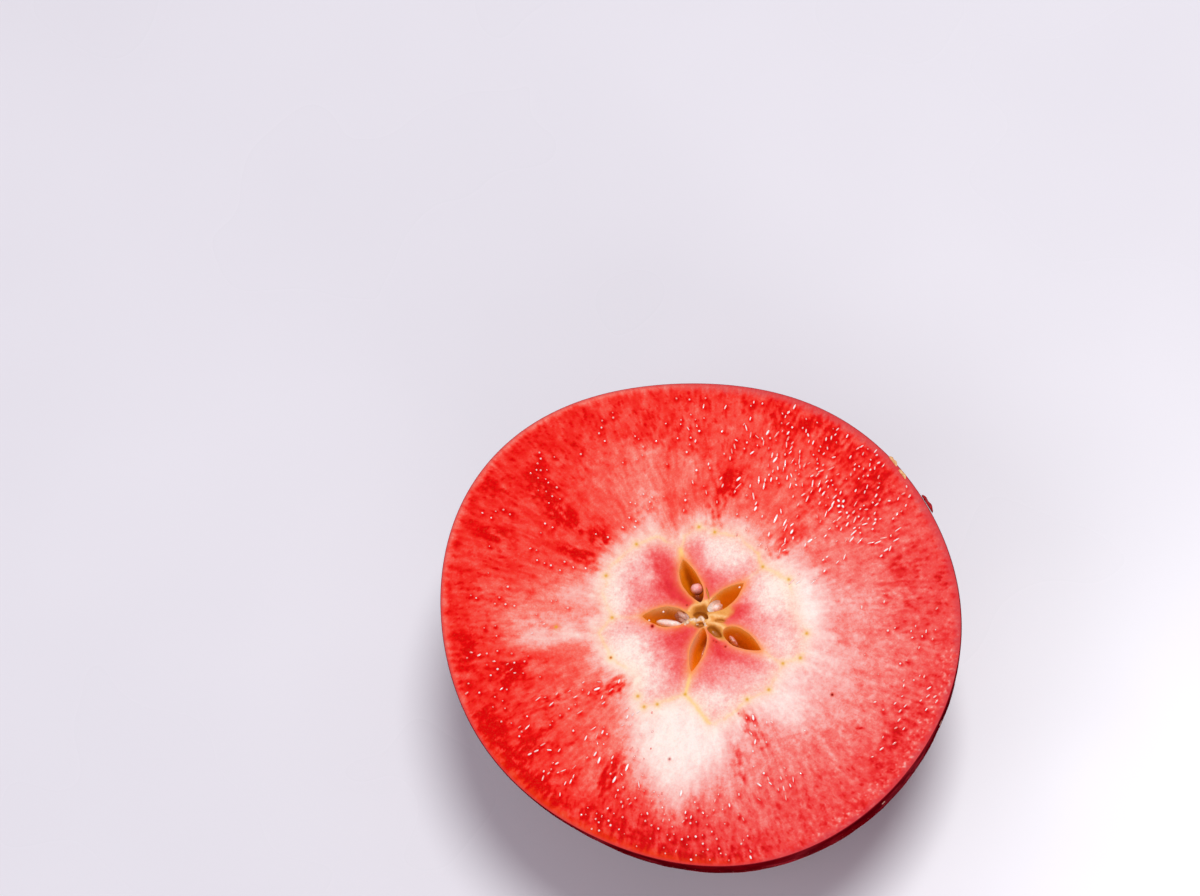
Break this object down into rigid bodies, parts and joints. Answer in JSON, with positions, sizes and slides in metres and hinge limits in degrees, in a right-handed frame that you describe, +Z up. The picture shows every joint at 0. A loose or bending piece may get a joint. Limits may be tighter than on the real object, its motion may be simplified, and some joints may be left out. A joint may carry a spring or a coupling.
{
  "type": "apple half",
  "caption": "Half of a red-fleshed apple cut crosswise, lying cut face up on its blossom end, with open seed chambers, small seeds and dark red skin.",
  "frame": {"origin": "centre of the bounding box at its bottom, on the surface that the half rests on", "axes": "+Z up out of the cut face, +Y towards the seed chamber that points up in the picture, +X to its right"},
  "size_m": [0.0756, 0.073, 0.036],
  "materials": {
    "fruit": null,
    "seed": null
  },
  "bodies": {
    "root": {"apple_half": "fruit", "seed_upper": "seed", "seed_left": "seed", "seed_upper_right": "seed", "seed_lower_right": "seed"}
  },
  "joints": []
}
